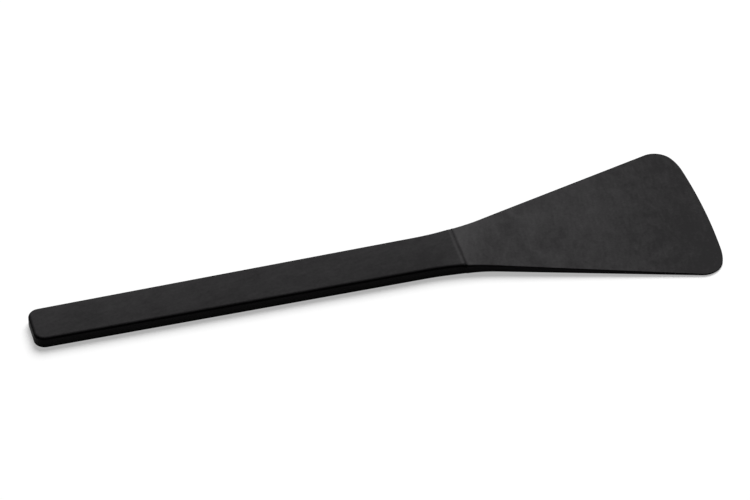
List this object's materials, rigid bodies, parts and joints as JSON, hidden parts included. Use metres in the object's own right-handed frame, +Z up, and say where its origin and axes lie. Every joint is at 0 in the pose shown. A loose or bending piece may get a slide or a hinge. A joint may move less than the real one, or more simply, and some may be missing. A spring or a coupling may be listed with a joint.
{
  "type": "kitchen spatula",
  "caption": "Flat matt black kitchen spatula: a slim bar handle of scales bonded to a full-length tang, flaring into a thin blade with a gently bowed front edge.",
  "frame": {"origin": "on the surface the spatula lies on, under the middle of its box: halfway along its length and on its centre line", "axes": "+X from the butt of the handle to the front edge of the blade, +Y across the width, +Z up out of the handle's top face"},
  "size_m": [0.34, 0.0926, 0.0061],
  "materials": {
    "handle_laminate": "matte",
    "blade_laminate": "matte",
    "cured_glue": "satin",
    "pin_steel": "satin"
  },
  "bodies": {
    "root": {"blade_and_tang": "blade_laminate", "upper_scale": "handle_laminate", "lower_scale": "handle_laminate", "upper_bond_film": "cured_glue", "lower_bond_film": "cured_glue", "locating_pin_1": "pin_steel", "locating_pin_2": "pin_steel", "locating_pin_3": "pin_steel"}
  },
  "joints": []
}
